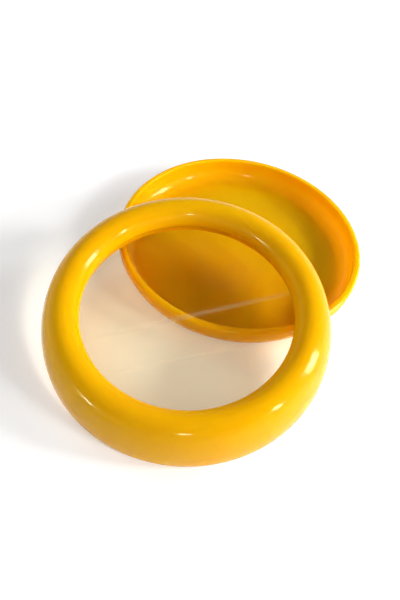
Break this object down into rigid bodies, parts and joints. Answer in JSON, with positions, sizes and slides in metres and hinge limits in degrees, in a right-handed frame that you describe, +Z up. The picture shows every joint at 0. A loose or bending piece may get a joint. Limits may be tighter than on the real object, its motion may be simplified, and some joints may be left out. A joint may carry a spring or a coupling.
{
  "type": "stretch film food saver",
  "caption": "Round yellow food saver: a shallow dish with a banded rim, and a rolled ring cover holding a clear stretch film, taken off and leaning on the dish.",
  "frame": {"origin": "centre of the dish's foot ring, on the table", "axes": "+Z up out of the dish, -Y towards the side that the leaning cover stands on"},
  "size_m": [0.115, 0.1672, 0.0352],
  "materials": {
    "yellow_plastic": "glossy moulded polypropylene",
    "clear_film": "clear stretched polyurethane film"
  },
  "bodies": {
    "dish_body": {"dish": "yellow_plastic"},
    "cover_body": {"cover_ring": "yellow_plastic", "stretch_film": "clear_film", "film_clamp_ring": "yellow_plastic"}
  },
  "joints": [
    {"name": "cover_lift", "type": "slide", "parent": "dish_body", "child": "cover_body", "axis": [0, 0, 1], "range_m": [0, 0.1]}
  ]
}
